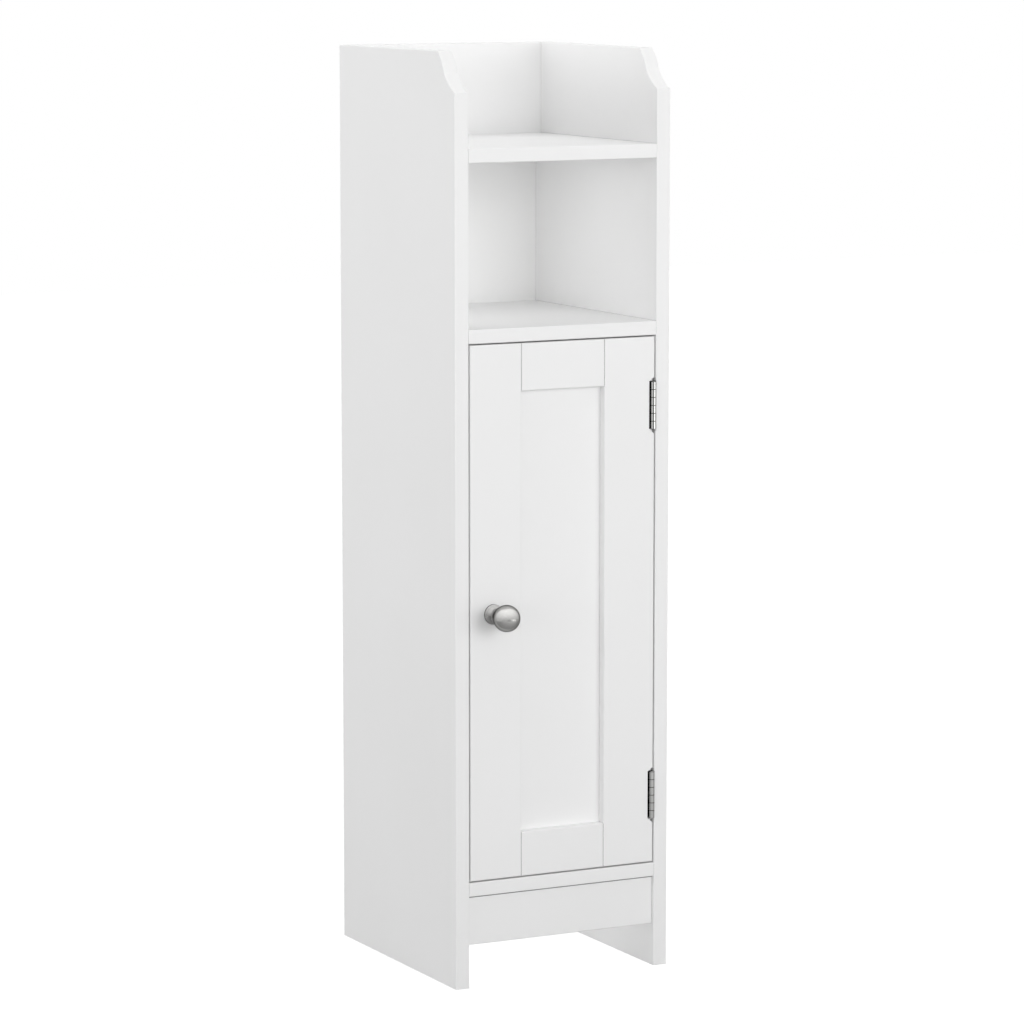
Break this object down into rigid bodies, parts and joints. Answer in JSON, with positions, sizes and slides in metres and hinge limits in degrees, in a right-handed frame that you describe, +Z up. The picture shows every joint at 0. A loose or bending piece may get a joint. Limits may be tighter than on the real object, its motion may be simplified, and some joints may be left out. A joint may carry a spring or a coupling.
{
  "type": "narrow bathroom cabinet",
  "caption": "Tall narrow free-standing bathroom cabinet of white painted board: tray with shaped corners, open shelf and a cupboard with an inset framed door, butt hinges and a round knob.",
  "frame": {"origin": "on the floor, below the middle of the outline with the knob", "axes": "+X to the right seen from the front, +Y to the wall behind, +Z up"},
  "size_m": [0.255, 0.3252, 0.99],
  "materials": {
    "painted_board": "white satin paint on board",
    "thin_back": "white painted face on thin hardboard",
    "hinge_steel": "nickel plated, satin",
    "screw_steel": "zinc plated",
    "knob_nickel": "satin nickel, turned",
    "catch_plastic": "white moulded plastic",
    "magnet_ferrite": "dark sintered ferrite"
  },
  "bodies": {
    "carcass": {"side_panel_left": "painted_board", "side_panel_right": "painted_board", "top_shelf": "painted_board", "middle_shelf": "painted_board", "bottom_board": "painted_board", "apron": "painted_board", "backboard": "painted_board", "back_panel": "thin_back", "back_panel_staples": "screw_steel", "inner_shelf": "painted_board", "shelf_pins": "screw_steel", "upper_hinge_case_leaf": "hinge_steel", "lower_hinge_case_leaf": "hinge_steel", "upper_hinge_pin": "hinge_steel", "lower_hinge_pin": "hinge_steel", "hinge_screws_case": "screw_steel", "catch_housing": "catch_plastic", "catch_magnet": "magnet_ferrite", "catch_poles": "screw_steel", "catch_screws": "screw_steel"},
    "door": {"door_stile_left": "painted_board", "door_stile_right": "painted_board", "door_rail_top": "painted_board", "door_rail_bottom": "painted_board", "door_panel": "painted_board", "upper_hinge_door_leaf": "hinge_steel", "lower_hinge_door_leaf": "hinge_steel", "hinge_screws_door": "screw_steel", "knob": "knob_nickel", "knob_screw": "screw_steel", "strike_plate": "screw_steel", "strike_screw": "screw_steel"}
  },
  "joints": [
    {"name": "door_hinge", "type": "hinge", "parent": "carcass", "child": "door", "pos_m": [0.1085, -0.11737, 0.4005], "axis": [0, 0, 1], "range_deg": [0, 170]}
  ]
}
